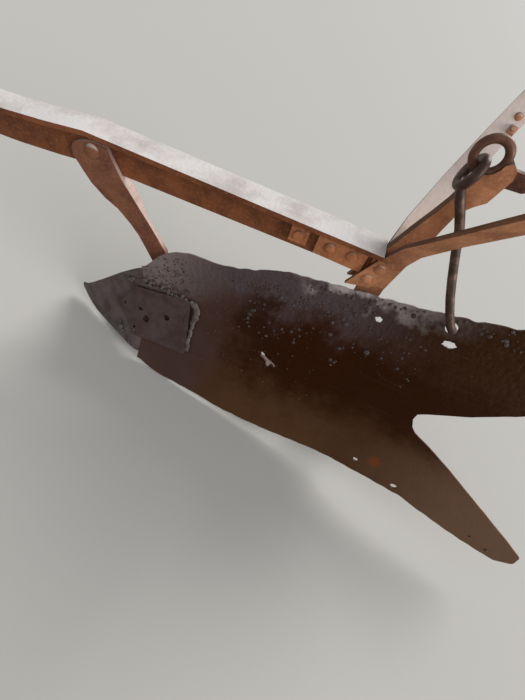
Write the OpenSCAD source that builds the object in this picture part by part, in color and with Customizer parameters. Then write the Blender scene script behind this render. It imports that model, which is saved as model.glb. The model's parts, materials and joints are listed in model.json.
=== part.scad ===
// Turn-wrest plough: a T beam, a forked strut, a centre standard with two handle bars,
// and a swallow-tailed moldboard that turns round a shaft under the beam.
// Units are mm. Working frame: share tip at x = 0, +X is the way the plough goes,
// +Y is the side the moldboard lies on at rest, +Z is up.

/* [View] */
// Piece to build, or all

/* [Beam] */
// Width of the beam's top flange
flange_width = 45; // [30:1:80]
// Thickness of the flange
flange_thick = 7; // [4:0.5:12]
// Thickness of the web
web_thick = 7; // [4:0.5:12]
// Height of the beam's top over the share tip
beam_top = 350; // [250:1:450]
// Front end of the hitch head
hitch_front_x = 330; // [200:1:600]
// Radius of a hitch hole
hitch_hole_r = 7; // [5:0.5:12]

/* [Body shaft] */
// Slope of the turning shaft in degrees
shaft_slope = 7; // [3:0.5:12]
// Radius of the turning shaft
shaft_r = 11; // [8:0.5:16]
// Radial clearance of a carrier collar on the shaft
collar_play = 0.05; // [0.02:0.01:0.1]
// Height of the shaft line over the tip's underside
shaft_z = 10; // [0:1:30]

/* [Moldboard] */
// Thickness of the moldboard sheet
sheet_thick = 5; // [3:0.5:10]
// Slope of the sheet's long axis in degrees
sheet_slope = 10; // [5:0.5:15]
// How far the sheet's middle direction looks up, in degrees
sheet_roll = 27; // [10:1:45]

/* [Handles] */
// Half of the distance between the grips
grip_y = 243; // [180:1:320]
// Height of the grips over the share tip
grip_z = 788; // [650:1:950]
// Rear end of the grips
grip_end_x = -1090; // [-1400:1:-900]
// Length of a grip
grip_length = 130; // [90:1:180]
// Radius of a grip
grip_r = 17; // [12:0.5:22]
// Width of a handle bar
bar_width = 28; // [20:1:50]
// Thickness of a handle bar
bar_thick = 6; // [4:0.5:12]

/* [Hidden] */
$fn = 48;
ground_z = -13.6;
frame_x = -(hitch_front_x + grip_end_x) / 2;
hw = web_thick / 2;
cheek_thick = 6;
plate_y = 7;
bearing_r = 20;
collar_r = 19;

// the sheet: along (s), outer face (u) and side (v) in its own frame
sheet_z = 12;
cr = cos(sheet_roll);
sr = sin(sheet_roll);
ct = cos(sheet_slope);
st = sin(sheet_slope);

function at(s, u, v) = [
    -s * ct + st * (u * sr + v * cr),
    u * cr - v * sr,
    sheet_z + s * st + ct * (u * sr + v * cr)
];

// columns: s, u at the middle, u at the upper and lower edge, v of the upper and lower edge
SHEET = [
    [0, 0, 0, 0, 2, 8],
    [12, 6, 7, 7, 3.5, 18],
    [32, 13, 16, 16, 13, 33],
    [54, 20, 26, 26, 26, 42.5],
    [80, 28, 36, 36, 41, 51],
    [111, 36, 49, 49, 60, 60],
    [150, 45, 67, 65, 81, 72],
    [168, 48, 73, 67, 89, 77],
    [168.3, 48, 73, 69, 91, 86],
    [182, 50, 77, 69.5, 98, 93.5],
    [190, 51, 78.5, 69.8, 108, 97.5],
    [200, 52, 80, 70.8, 117.5, 101.5],
    [213, 53.4, 80, 72.2, 126, 105.5],
    [236, 56, 79.5, 74.6, 134.5, 109],
    [260, 59, 79, 76.7, 135.5, 112.5],
    [282, 61.2, 79.6, 78.1, 133.5, 116],
    [310, 64, 80.5, 80, 131, 122],
    [350, 67.5, 83, 82.7, 136, 131],
    [374, 69.5, 84.5, 84.3, 141, 133.5],
    [409, 73, 87, 86.4, 150, 137.5],
    [450, 80, 89, 88, 150.5, 141],
    [500, 87, 93, 90, 151.5, 143.5],
    [530, 91.5, 96, 91.4, 153, 145.3],
    [560, 97, 99.5, 94, 153, 147],
    [600, 107, 107, 104.5, 154, 148.4],
    [646, 117.2, 117, 116.2, 157.5, 150],
    [695, 127.5, 127, 126, 162, 155],
    [736, 133, 133, 133, 167.5, 168],
    [798, 142, 142, 142, 178, 185],
    [846, 149, 149, 149, 186.5, 194],
    [903, 158, 158, 158, 197, 205]
];
// rear end of the sheet by side position: the notch's flank, then the wing's end
REAR_UP = [[0, 667], [0.037, 676], [0.081, 693], [0.161, 729], [0.32, 787], [0.6, 846],
    [0.847, 892], [1, 876]];
REAR_LOW = [[0, 666], [0.068, 663], [0.157, 667], [0.211, 674], [0.246, 684], [0.291, 699],
    [0.395, 732], [0.558, 784], [0.73, 842], [0.847, 884], [0.93, 881], [1, 856]];

function col(c) = [for (r = SHEET) [r[0], r[c]]];
COL = [for (c = [0:5]) col(c)];
function u_mid(s) = lookup(s, COL[1]);
function u_edge(s, t) = lookup(s, t > 0 ? COL[2] : COL[3]);
function v_edge(s, t) = lookup(s, t > 0 ? COL[4] : COL[5]);
function v_of(s, t) = t * v_edge(s, t);
function u_of(s, t) = u_mid(s) + (u_edge(s, t) - u_mid(s)) * t * t;
function t_of(s, v) = v / v_edge(s, v);
function rear_s(t) = t > 0 ? lookup(t, REAR_UP) : lookup(-t, REAR_LOW);

// a curved plate between two faces: rows along s, columns along t
function grid(P) = [for (r = P) each r];
module shell_grid(outer, inner) {
    n = len(outer);
    m = len(outer[0]);
    pts = concat(grid(outer), grid(inner));
    k = n * m;
    faces = concat(
        [for (i = [0:n - 2], j = [0:m - 2]) each [
            [i * m + j, i * m + j + 1, (i + 1) * m + j],
            [i * m + j + 1, (i + 1) * m + j + 1, (i + 1) * m + j]]],
        [for (i = [0:n - 2], j = [0:m - 2]) each [
            [k + i * m + j, k + (i + 1) * m + j, k + i * m + j + 1],
            [k + i * m + j + 1, k + (i + 1) * m + j, k + (i + 1) * m + j + 1]]],
        [for (i = [0:n - 2]) each [
            [i * m, (i + 1) * m, k + i * m],
            [(i + 1) * m, k + (i + 1) * m, k + i * m]]],
        [for (i = [0:n - 2]) each [
            [i * m + m - 1, k + i * m + m - 1, (i + 1) * m + m - 1],
            [(i + 1) * m + m - 1, k + i * m + m - 1, k + (i + 1) * m + m - 1]]],
        [for (j = [0:m - 2]) each [
            [j, k + j, j + 1],
            [j + 1, k + j, k + j + 1]]],
        [for (j = [0:m - 2]) each [
            [(n - 1) * m + j, (n - 1) * m + j + 1, k + (n - 1) * m + j],
            [(n - 1) * m + j + 1, k + (n - 1) * m + j + 1, k + (n - 1) * m + j]]]
    );
    polyhedron(pts, faces, convexity = 8);
}

// a flat bar along a list of points; its width lies across Y, turned by degrees per point
function unit(v) = v / norm(v);
function tangent(P, i) = unit(P[min(i + 1, len(P) - 1)] - P[max(i - 1, 0)]);
function ring(p, d, w, h, twist) =
    let (flat = unit([d[2], 0, -d[0]]), up = cross(d, flat),
        a = cos(twist) * flat + sin(twist) * up, b = cross(d, a))
    [p - a * w / 2 - b * h / 2, p + a * w / 2 - b * h / 2,
     p + a * w / 2 + b * h / 2, p - a * w / 2 + b * h / 2];
module flat_bar(P, w, h, twist = []) {
    n = len(P);
    function twist_at(i) = len(twist) == 0 ? 0 : twist[min(i, len(twist) - 1)];
    pts = [for (i = [0:n - 1]) each ring(P[i], tangent(P, i), w, h, twist_at(i))];
    faces = concat(
        [[0, 1, 2], [0, 2, 3]],
        [for (i = [0:n - 2], j = [0:3]) each
            let (q = (j + 1) % 4)
            [[4 * i + j, 4 * i + 4 + j, 4 * i + q],
             [4 * i + q, 4 * i + 4 + j, 4 * i + 4 + q]]],
        [[4 * n - 4, 4 * n - 2, 4 * n - 3], [4 * n - 4, 4 * n - 1, 4 * n - 2]]
    );
    polyhedron(pts, faces, convexity = 4);
}

// a round bar from p to q
module rod(p, q, r) {
    d = q - p;
    l = norm(d);
    translate(p)
        rotate([0, acos(d[2] / l), atan2(d[1], d[0])])
            cylinder(h = l, r = r);
}

// the turning shaft's frame: local Z runs rearward along it, local X is up
module on_shaft(d) {
    translate([0, 0, shaft_z])
        rotate([0, shaft_slope - 90, 0])
            translate([0, 0, d])
                children();
}

// a side outline in (x, z), as thick as y0 to y1
module side_plate(P, y0, y1) {
    translate([0, y1, 0])
        rotate([90, 0, 0])
            linear_extrude(y1 - y0)
                polygon(P);
}

module across(x, z, r, y0, y1) {
    translate([x, y1, z])
        rotate([90, 0, 0])
            cylinder(h = y1 - y0, r = r);
}

module placed() {
    translate([frame_x, 0, -ground_z])
        children();
}

rust = [0.42, 0.25, 0.18];
dark = [0.26, 0.17, 0.13];
wood = [0.55, 0.42, 0.28];

// a height given from the beam's top
function top(z) = beam_top + z;
module from_top() {
    translate([0, 0, beam_top])
        children();
}

// beam: x, and how far the top and the web's lower edge lie below the beam's highest line
beam_rear_x = -491;
beam_front_x = hitch_front_x - 60;
TOP = [[beam_rear_x, 0], [-68, 0], [-7, -9], [53, -16], [beam_front_x, -32]];
WEB_LOW = [[beam_front_x - 8, -79.6], [53, -69], [-7, -63], [-68, -55], [-482, -48]];
web_rise = flange_thick / 2 + 0.5;

function lowered(P, d) = [for (p = P) [p[0], p[1] - d]];
function turned(P) = [for (i = [len(P) - 1:-1:0]) P[i]];

module web_shape(y) {
    upper = concat([[-482, 0]], [for (i = [1:3]) TOP[i]], [[beam_front_x - 8, -31.4]]);
    from_top()
        side_plate(concat(lowered(upper, web_rise), WEB_LOW), -y, y);
}

BOLTS = [
    // x, height from the beam's top, radius, half length between the heads
    [-70, -32, 8, 10],
    [-377, -25, 7, hw],
    [-497, -26, 5.5, plate_y + bar_thick],
    [-488, -48, 5.5, plate_y + bar_thick]
];
RIVETS = [[-423, -29], [-455, -28]];
HITCH_Z = [for (i = [0:4]) top(-112 + 24 * i)];
hitch_hole_x = hitch_front_x - 20;
hitch_rivet_r = 6;
HITCH_RIVETS = [[beam_front_x - 65, -55], [beam_front_x - 30, -55]];
plate_rivet_r = 4;

// the hole of one bolt or rivet right through, from a table row
module drilled(row, r) {
    across(row[0], top(row[1]), r, -60, 60);
}

module beam() {
    color(rust)
        placed()
            difference() {
                union() {
                    from_top()
                        side_plate(concat(TOP, turned(lowered(TOP, flange_thick))),
                            -flange_width / 2, flange_width / 2);
                    web_shape(hw);
                }
                for (b = [BOLTS[0], BOLTS[1]])
                    drilled(b, b[2]);
                for (r = RIVETS)
                    drilled(r, plate_rivet_r);
                for (r = HITCH_RIVETS)
                    drilled(r, hitch_rivet_r);
            }
}

// one cheek of the hitch head; its outline is x from the beam's front end, z from the top
module hitch_cheek(side) {
    x = beam_front_x;
    f = hitch_front_x;
    difference() {
        from_top()
            side_plate([[x - 78, -74], [x - 70, -78], [x, -88], [x + 24, -122], [f - 24, -128],
                [f - 10, -128], [f, -116], [f, -12], [f - 10, 0], [f - 24, 0], [x + 24, -6],
                [x + 6, -40], [x - 8, -42], [x - 74, -41], [x - 78, -45]],
                side > 0 ? hw : -hw - cheek_thick, side > 0 ? hw + cheek_thick : -hw);
        for (z = HITCH_Z)
            across(hitch_hole_x, z, hitch_hole_r, -30, 30);
        for (r = HITCH_RIVETS)
            drilled(r, hitch_rivet_r);
    }
}

module hitch_cheek_left() {
    color(rust) placed() hitch_cheek(1);
}

module hitch_cheek_right() {
    color(rust) placed() hitch_cheek(-1);
}

// a rivet from a table row: its shank between two faces at -y and y, and a flat head on each
module rivet(row, r, y, head_r, head) {
    z = top(row[1]);
    across(row[0], z, r, -y, y);
    across(row[0], z, head_r, y, y + head);
    across(row[0], z, head_r, -y - head, -y);
}

module hitch_rivets() {
    color(dark) placed()
        for (r = HITCH_RIVETS)
            rivet(r, hitch_rivet_r, hw + cheek_thick, 10, 4);
}

// two cheeks that clasp the beam's web and draw in to one blade, down to the nose bearing
blade = 4.5;
module strut() {
    cheek = BOLTS[0][3];
    function h(f) = f * beam_top;
    outline = [[-92, top(-17)], [-66, top(-18)], [-50, top(-24)], [-41, top(-30.5)],
        [-37, top(-38)], [-37.5, top(-50)], [-45, top(-59.5)], [-59, top(-84)],
        [-78, top(-103)], [-97.5, top(-114.5)], [-117.5, h(0.62)], [-131, h(0.574)],
        [-143, h(0.516)], [-155.5, h(0.451)], [-165, h(0.314)], [-171, h(0.177)],
        [-172, 30], [-201, 40], [-199, h(0.243)], [-192, h(0.386)], [-179.2, h(0.537)],
        [-161, h(0.617)], [-144.5, top(-110.5)], [-130, top(-86.5)], [-120, top(-69)],
        [-109.7, top(-53.4)], [-98.4, top(-32)]];
    color(rust)
        placed()
            difference() {
                side_plate(outline, -cheek, cheek);
                for (s = [0, 1])
                    mirror([0, s, 0])
                        translate([-230, 0, 0])
                            rotate([90, 0, 90])
                                linear_extrude(220)
                                    polygon([[blade, 0], [blade, top(-115)],
                                        [cheek, top(-65)], [40, top(-65)], [40, 0]]);
                web_shape(hw);
                drilled(BOLTS[0], BOLTS[0][2]);
                on_shaft(150) cylinder(h = 65, r = bearing_r);
            }
}

// a bolt from a table row, with a low round head on the +Y side and a nut on the other
module through_bolt(row) {
    r = row[2];
    y = row[3];
    z = top(row[1]);
    across(row[0], z, r, -y - 1.4 * r, y + 0.3 * r);
    across(row[0], z, 1.35 * r, y, y + 0.6 * r);
    translate([row[0], -y, z]) rotate([90, 30, 0]) cylinder(h = r, r = 1.75 * r, $fn = 6);
}

module strut_bolt() {
    color(dark) placed() through_bolt(BOLTS[0]);
}

// the lone bolt before the fish plates, with a square nut
module beam_bolt() {
    x = BOLTS[1][0];
    z = top(BOLTS[1][1]);
    r = BOLTS[1][2];
    nut = 26;
    color(dark)
        placed() {
            across(x, z, r, -hw, hw);
            translate([x - nut / 2, hw, z - nut / 2]) cube([nut, 9, nut]);
            across(x, z, r, hw + 9, hw + 12);
            across(x, z, 12, -hw - 6, -hw);
        }
}

module fish_plate(y0, y1) {
    difference() {
        from_top()
            side_plate([[-403, -46.5], [-403, -14], [-409, -10], [-475, -10], [-475, -47.6]],
                y0, y1);
        for (r = RIVETS)
            drilled(r, plate_rivet_r);
    }
}

module fish_plate_left() {
    color(rust) placed() fish_plate(hw, plate_y);
}

module fish_plate_right() {
    color(rust) placed() fish_plate(-plate_y, -hw);
}

module plate_rivets() {
    color(dark) placed()
        for (r = RIVETS)
            rivet(r, plate_rivet_r, plate_y, 8, 4);
}

// the upright behind the beam: a thick head up to the ring and a leg down to the sole
module standard() {
    color(rust)
        placed()
            difference() {
                union() {
                    from_top()
                        side_plate([[-482, -65], [-482, -7], [-491, -7], [-491, 2],
                            [-504.5, 41], [-513, 63], [-521, 86.5], [-523.5, 98],
                            [-526, 106], [-529, 114], [-531, 120], [-532, 124.4],
                            [-537, 126], [-541.7, 129.3], [-545, 134], [-546.5, 140],
                            [-553, 144], [-560, 139], [-562.5, 130], [-556, 101],
                            [-546, 91], [-537.5, 79], [-534, 55], [-532.5, 40], [-528, 10],
                            [-526, -5], [-520, -47], [-519, -56]],
                            -plate_y, plate_y);
                    side_plate([[-484, top(-54)], [-519, top(-54)], [-520, 120], [-530, 95],
                        [-530, 45], [-522, 6], [-482, 6], [-474, 45], [-474, 95],
                        [-484, 120]], -5, 5);
                }
                for (b = [BOLTS[2], BOLTS[3]])
                    drilled(b, b[2]);
                on_shaft(492) cylinder(h = 36, r = bearing_r);
                on_shaft(450) cylinder(h = 120, r = shaft_r);
            }
}

module handle_bolts() {
    color(dark) placed()
        for (b = [BOLTS[2], BOLTS[3]])
            through_bolt(b);
}

// the left handle bar's centre line: its foot on the standard, then from the bend to the
// grip, where each row says how far back, out and up it has come, from 0 to 1
grip_x = grip_end_x + grip_length;
bar_y = plate_y + bar_thick / 2;
bend = [-503, bar_y, top(-15)];
grip_at = [grip_x, grip_y, grip_z];
BAR_FOOT = [[-473, bar_y, top(-82)], [-489, bar_y, top(-46)], bend];
BAR_CURVE = [
    [0.006, 0.012, 0.015],
    [0.022, 0.097, 0.099],
    [0.062, 0.252, 0.21],
    [0.107, 0.402, 0.32],
    [0.155, 0.548, 0.43],
    [0.212, 0.686, 0.541],
    [0.304, 0.802, 0.656],
    [0.442, 0.888, 0.766],
    [0.606, 0.94, 0.859],
    [0.748, 0.978, 0.932],
    [0.88, 0.996, 0.978],
    [0.945, 1, 0.996],
    [0.978, 1, 1],
    [1, 1, 1]
];
BAR_TWIST = [0, 0, 0, 2, 14, 24, 24, 24, 22, 14, 5, 0];
function between(a, b, f) = [for (i = [0:2]) a[i] + (b[i] - a[i]) * f[i]];
HANDLE = concat(BAR_FOOT, [for (f = BAR_CURVE) between(bend, grip_at, f)]);
// the stay crosses at this row of the curve
stay_at = between(bend, grip_at, BAR_CURVE[8]);
stay_r = 7;

module stay_line(r, y0, y1) {
    across(stay_at[0], stay_at[2], r, y0, y1);
}

module handle() {
    difference() {
        flat_bar(HANDLE, bar_width, bar_thick, BAR_TWIST);
        from_top()
            side_plate([[-430, -78], [-530, -52], [-530, -150], [-430, -150]], 0, 40);
        for (b = [BOLTS[2], BOLTS[3]])
            drilled(b, b[2]);
        stay_line(stay_r, -400, 400);
    }
}

module handle_left() {
    color(rust) placed() handle();
}

module handle_right() {
    color(rust) placed() mirror([0, 1, 0]) handle();
}

module grip(side) {
    l = grip_length;
    translate([grip_x, side * grip_y, grip_z])
        rotate([0, -90, 0])
            rotate_extrude()
                polygon([[0, 0], [grip_r - 4, 0], [grip_r - 2, 4], [grip_r - 2, 12],
                    [grip_r - 1, 30], [grip_r, 60], [grip_r - 1.5, l - 35], [grip_r, l - 12],
                    [grip_r - 2, l - 3], [grip_r - 6, l], [0, l]]);
}

module grip_left() {
    color(wood) placed() grip(1);
}

module grip_right() {
    color(wood) placed() grip(-1);
}

module cross_stay() {
    y = stay_at[1];
    color(rust) placed() {
        stay_line(stay_r, -y - 11, y + 11);
        for (s = [-1, 1])
            stay_line(12, s > 0 ? y + 7 : -y - 16, s > 0 ? y + 16 : -y - 7);
    }
}

// flat iron from the standard's head up to the cross stay, right of the ring
module handle_brace() {
    foot = [-549, -11, top(130)];
    end = [stay_at[0] + 6, -11, stay_at[2] - 12];
    curve = [[0, 0], [0.061, -0.022], [0.14, -0.017], [0.259, 0.057], [0.412, 0.209],
        [0.632, 0.47], [0.829, 0.739], [0.974, 0.948], [1, 1]];
    color(dark)
        placed()
            flat_bar([for (f = curve) between(foot, end, [f[0], 0, f[1]])], 20, 8);
}

// eye forged on top of the standard; the hook hangs in it
eye_c = [-530, 0, top(141)];
eye_r = 16.6;
eye_bar = 4.8;

module ring_eye() {
    color(rust)
        placed()
            difference() {
                translate(eye_c)
                    rotate([90, 0, 0])
                        rotate_extrude()
                            translate([eye_r, 0])
                                circle(eye_bar);
                from_top()
                    side_plate([[-531, 100], [-531, 120], [-532, 124.4], [-537, 126],
                        [-541.7, 129.3], [-545, 134], [-546.5, 140], [-553, 144],
                        [-570, 140], [-570, 100]], -plate_y, plate_y);
            }
}

module pivot_shaft() {
    color(dark) placed() on_shaft(118) cylinder(h = 540, r = shaft_r);
}

module shaft_nuts() {
    color(dark) placed() {
        on_shaft(108) cylinder(h = 10, r = 16, $fn = 6);
        on_shaft(658) cylinder(h = 12, r = 18, $fn = 6);
    }
}

module nose_bearing() {
    color(rust) placed() difference() {
        on_shaft(160) cylinder(h = 45, r = bearing_r);
        on_shaft(150) cylinder(h = 65, r = shaft_r);
    }
}

module rear_bearing() {
    color(rust) placed() difference() {
        on_shaft(492) cylinder(h = 36, r = bearing_r);
        on_shaft(480) cylinder(h = 60, r = shaft_r);
    }
}

module sole_bar() {
    color(rust) placed() difference() {
        side_plate([[-164, 8], [-176, ground_z], [-596, ground_z], [-596, 6], [-222, 6],
            [-206, 18], [-164, 18]], -13, 13);
        on_shaft(140) cylinder(h = 85, r = bearing_r);
    }
}

module heel_shoe() {
    color(dark) placed()
        for (y = [-30, 13])
            translate([-590, y, ground_z]) cube([128, 17, 9]);
}

// side positions of the moldboard's grid columns
HALF = [0, 0.037, 0.081, 0.157, 0.211, 0.246, 0.291, 0.395, 0.47, 0.558, 0.65, 0.73, 0.847, 0.93, 1];
COLS = concat([for (i = [14:-1:1]) -HALF[i]], HALF);
ROWS = 27;
split_s = 168;
// columns: s, v, radius
SHEET_HOLES = [
    [658, 141, 8],
    [664, 118, 5],
    [567, 120, 3],
    [607, -125, 3.5],
    [677, -141, 4.5],
    [417, -8, 3]
];

module moldboard() {
    s0 = split_s + 0.3;
    function row_s(i, t) = s0 + (rear_s(t) - s0) * i / ROWS;
    outer = [for (i = [0:ROWS]) [for (t = COLS) let (s = row_s(i, t))
        at(s, u_of(s, t), v_of(s, t))]];
    inner = [for (i = [0:ROWS]) [for (t = COLS) let (s = row_s(i, t))
        at(s, u_of(s, t) - sheet_thick, v_of(s, t))]];
    color(dark)
        placed()
            difference() {
                shell_grid(outer, inner);
                for (h = SHEET_HOLES)
                    hole_at(h[0], h[1], h[2]);
            }
}

// a round hole square to the sheet's mean plane
module hole_at(s, v, r) {
    p = at(s, u_mid(s) - 40, v);
    q = at(s, u_mid(s) + 40, v);
    rod(p, q, r);
}

module share() {
    S = [0, 5, 12, 22, 32, 43, 54, 67, 80, 95, 111, 130, 150, 159, 168];
    T = [for (i = [-6:6]) i / 6];
    outer = [for (s = S) [for (t = T) at(s, u_of(s, t), v_of(s, t))]];
    inner = [for (s = S) [for (t = T)
        at(s + (s < 12 ? 3 : 0), u_of(s, t) - min(sheet_thick, 3 + s / 8), v_of(s, t))]];
    color(rust) placed() shell_grid(outer, inner);
}

// a point over the sheet's outer face
function over(s, v, h) = at(s, u_of(s, t_of(s, v)) + h, v);

// the welded plate over the joint of share and moldboard
module patch_plate() {
    A = [for (i = [0:10]) i / 10];
    B = [for (i = [0:8]) i / 8];
    function ps(a, b) = let (f = 106 + 46 * abs(2 * b - 1)) f + a * (261 - f);
    function pv(a, b) = (b - 0.5) * (96 + 8 * a);
    outer = [for (a = A) [for (b = B) over(ps(a, b), pv(a, b), 5.4)]];
    inner = [for (a = A) [for (b = B) over(ps(a, b), pv(a, b), 0.7)]];
    color(dark) placed() shell_grid(outer, inner);
}

// a pad that follows the sheet's back
module pad(s0, s1, v0, v1) {
    S = [for (i = [0:4]) s0 + (s1 - s0) * i / 4];
    V = [for (i = [0:6]) v0 + (v1 - v0) * i / 6];
    shell_grid([for (s = S) [for (v = V) over(s, v, -sheet_thick - 0.7)]],
        [for (s = S) [for (v = V) over(s, v, -sheet_thick - 7)]]);
}

module front_carrier() {
    color(dark) placed() difference() {
        union() {
            on_shaft(124) cylinder(h = 32, r = collar_r);
            on_shaft(132) linear_extrude(14)
                polygon([[-12, 8], [10, -16], [41, 21], [9, 38]]);
            pad(128, 156, -28, 28);
        }
        on_shaft(100) cylinder(h = 80, r = shaft_r + collar_play);
    }
}

module rear_carrier() {
    color(dark) placed() difference() {
        union() {
            on_shaft(616) cylinder(h = 34, r = collar_r);
            on_shaft(622) linear_extrude(12)
                polygon([[-16, 8], [16, -10], [125, 69], [37, 113]]);
            pad(606, 638, -58, 58);
        }
        on_shaft(600) cylinder(h = 70, r = shaft_r + collar_play);
        on_shaft(600) translate([62, 66, 0]) cylinder(h = 60, r = 20);
    }
}

// hook: a closed eye round the ring's lower bar, then a bent rod to its peg
hang = [0.31, 0, -0.951];
hinge_p = eye_c + eye_r * hang;
loop_r = 16;
wire = 5.5;
loop_c = hinge_p + (loop_r - eye_bar - wire - 0.3) * hang;
// the hole that the peg drops in, on the sheet's outer face, and the way through it
peg_at = at(SHEET_HOLES[0][0], u_mid(SHEET_HOLES[0][0]), SHEET_HOLES[0][1]);
through = [st * sr, cr, ct * sr];
// the rod: first points from the hinge, last points from the peg's hole
HOOK = [
    hinge_p + [5.1, 11.6, -15.6],
    hinge_p + [1.6, 14.2, -23],
    hinge_p + [-3.2, 15.6, -30.5],
    hinge_p + [-9.4, 17, -38.5],
    hinge_p + [-21.2, 19, -56.2],
    hinge_p + [-35.2, 23.5, -83.2],
    peg_at + [43.2, -10.5, 62.9],
    peg_at + [31.2, -1, 41.9],
    peg_at + [20.2, 6, 25.4],
    peg_at + [12, 10.5, 14.9],
    peg_at + [7, 12.8, 9.6],
    peg_at + [3.6, 12, 6.9],
    peg_at + 9 * through + [1.4, 0, 0.6],
    peg_at + 3.4 * through,
    peg_at - 10.1 * through
];

// a round bar along a list of points
module round_bar(P, r, m = 16) {
    n = len(P);
    pts = [for (i = [0:n - 1])
        let (d = tangent(P, i), a = unit(cross(d, [1, 0, 0])), b = cross(d, a))
        each [for (j = [0:m - 1]) P[i] + r * (cos(360 * j / m) * a + sin(360 * j / m) * b)]];
    faces = concat(
        [[for (j = [0:m - 1]) j]],
        [for (i = [0:n - 2], j = [0:m - 1]) each
            let (q = (j + 1) % m)
            [[m * i + j, m * (i + 1) + j, m * i + q],
             [m * i + q, m * (i + 1) + j, m * (i + 1) + q]]],
        [[for (j = [m - 1:-1:0]) m * (n - 1) + j]]
    );
    polyhedron(pts, faces, convexity = 4);
}

module hook_rod() {
    color(dark) placed() {
        translate(loop_c)
            rotate([0, 72, 0])
                rotate_extrude()
                    translate([loop_r, 0])
                        circle(wire);
        round_bar(HOOK, wire);
    }
}

beam();
hitch_cheek_left();
hitch_cheek_right();
hitch_rivets();
strut();
strut_bolt();
beam_bolt();
fish_plate_left();
fish_plate_right();
plate_rivets();
standard();
ring_eye();
handle_left();
handle_right();
handle_bolts();
grip_left();
grip_right();
cross_stay();
handle_brace();
pivot_shaft();
shaft_nuts();
nose_bearing();
rear_bearing();
sole_bar();
heel_shoe();
moldboard();
share();
patch_plate();
front_carrier();
rear_carrier();
hook_rod();
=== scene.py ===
# %% [markdown]
# # A turn-wrest plough in old rusted steel
# The plough was made in CAD and comes in as a fixed frame: every bolt and plate is already in
# its place. This notebook dresses it. We set the camera where the photo was taken, mix one
# finish for each kind of steel and wood, round the hard CAD edges, and build the moldboard
# afresh, because a worn sheet needs a finer mesh than a CAD solid gives.

# %% Load the frame
import json
import math

import bmesh
import bpy
import numpy as np
from mathutils import Matrix, Vector, noise


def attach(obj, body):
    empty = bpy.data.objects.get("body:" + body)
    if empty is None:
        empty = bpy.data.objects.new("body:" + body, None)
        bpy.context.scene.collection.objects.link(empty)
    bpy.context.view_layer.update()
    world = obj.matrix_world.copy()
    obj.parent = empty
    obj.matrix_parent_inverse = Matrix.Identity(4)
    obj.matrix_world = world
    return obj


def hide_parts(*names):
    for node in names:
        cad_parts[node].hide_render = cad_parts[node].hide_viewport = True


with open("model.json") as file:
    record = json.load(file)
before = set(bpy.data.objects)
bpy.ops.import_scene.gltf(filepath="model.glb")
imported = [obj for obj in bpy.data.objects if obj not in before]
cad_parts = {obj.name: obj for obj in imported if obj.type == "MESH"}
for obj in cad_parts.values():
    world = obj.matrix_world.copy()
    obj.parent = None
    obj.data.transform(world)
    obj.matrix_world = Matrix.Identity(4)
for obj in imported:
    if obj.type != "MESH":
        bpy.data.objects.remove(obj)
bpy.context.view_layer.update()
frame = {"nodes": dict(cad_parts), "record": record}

MM = 0.001

# %% [markdown]
# ## The camera
# The camera goes first, as everything else is judged through it. The photo was taken with a
# wide lens from over the plough, looking down by 53 degrees. The three directions below are
# the camera's right, down and forward, seen from the plough's own axes. A Blender camera looks
# along its own minus Z, with Y up, so two of the three turn their sign.

# %% The camera's place and lens
TIP_X, FLOOR_Z = 380.0, 13.6         # the share's point, and the height of the CAD's zero, mm
PHOTO_HEIGHT_PX, FOCAL_PX, SENSOR_MM = 700, 370, 36

camera_right = Vector((-0.9214, -0.3103, 0.2338))
camera_down = Vector((-0.3886, 0.7359, -0.5545))
camera_forward = Vector((0.0, -0.6018, -0.7986))
camera_place = Vector((-392 + TIP_X, 445, 628 + FLOOR_Z)) * MM

camera = bpy.data.objects.new("phone_camera", bpy.data.cameras.new("phone_camera"))
bpy.context.scene.collection.objects.link(camera)
camera.data.lens = FOCAL_PX / PHOTO_HEIGHT_PX * SENSOR_MM
camera.data.sensor_width = SENSOR_MM
camera.data.clip_start = 0.01
turn = Matrix((camera_right, -camera_down, -camera_forward)).transposed().to_4x4()
camera.matrix_world = Matrix.Translation(camera_place) @ turn
bpy.context.scene.camera = camera
bpy.context.scene.view_settings.view_transform = "Standard"
print("lens", round(camera.data.lens, 2), "mm at", [round(c, 3) for c in camera_place])

# %% [markdown]
# ## Small tools for the finishes
# A finish is a little machine of nodes. One function turns a hex colour, as read from the
# photo, to the linear values that Blender mixes. One function adds a node with its settings
# and links. One gives the texture scale for a real grain size in millimetres, and the last
# starts an empty finish.

# %% Colour, node and scale helpers
def linear(hex_colour):
    values = [int(hex_colour[i:i + 2], 16) / 255 for i in (1, 3, 5)]
    return tuple(v / 12.92 if v <= 0.04045 else ((v + 0.055) / 1.055) ** 2.4 for v in values) + (1,)


def add(tree, kind, inputs=None, **settings):
    node = tree.nodes.new(kind)
    for key, value in settings.items():
        setattr(node, key, value)
    for key, value in (inputs or {}).items():
        if isinstance(value, bpy.types.NodeSocket):
            tree.links.new(value, node.inputs[key])
        else:
            node.inputs[key].default_value = value
    return node


def per_mm(size_mm):
    return 1 / (size_mm * MM)


def new_finish(name):
    material = bpy.data.materials.new(name)
    material.use_nodes = True
    material.node_tree.nodes.clear()
    return material, material.node_tree


print("mid grey #808080 is", round(linear("#808080")[0], 3), "in linear light")

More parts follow.
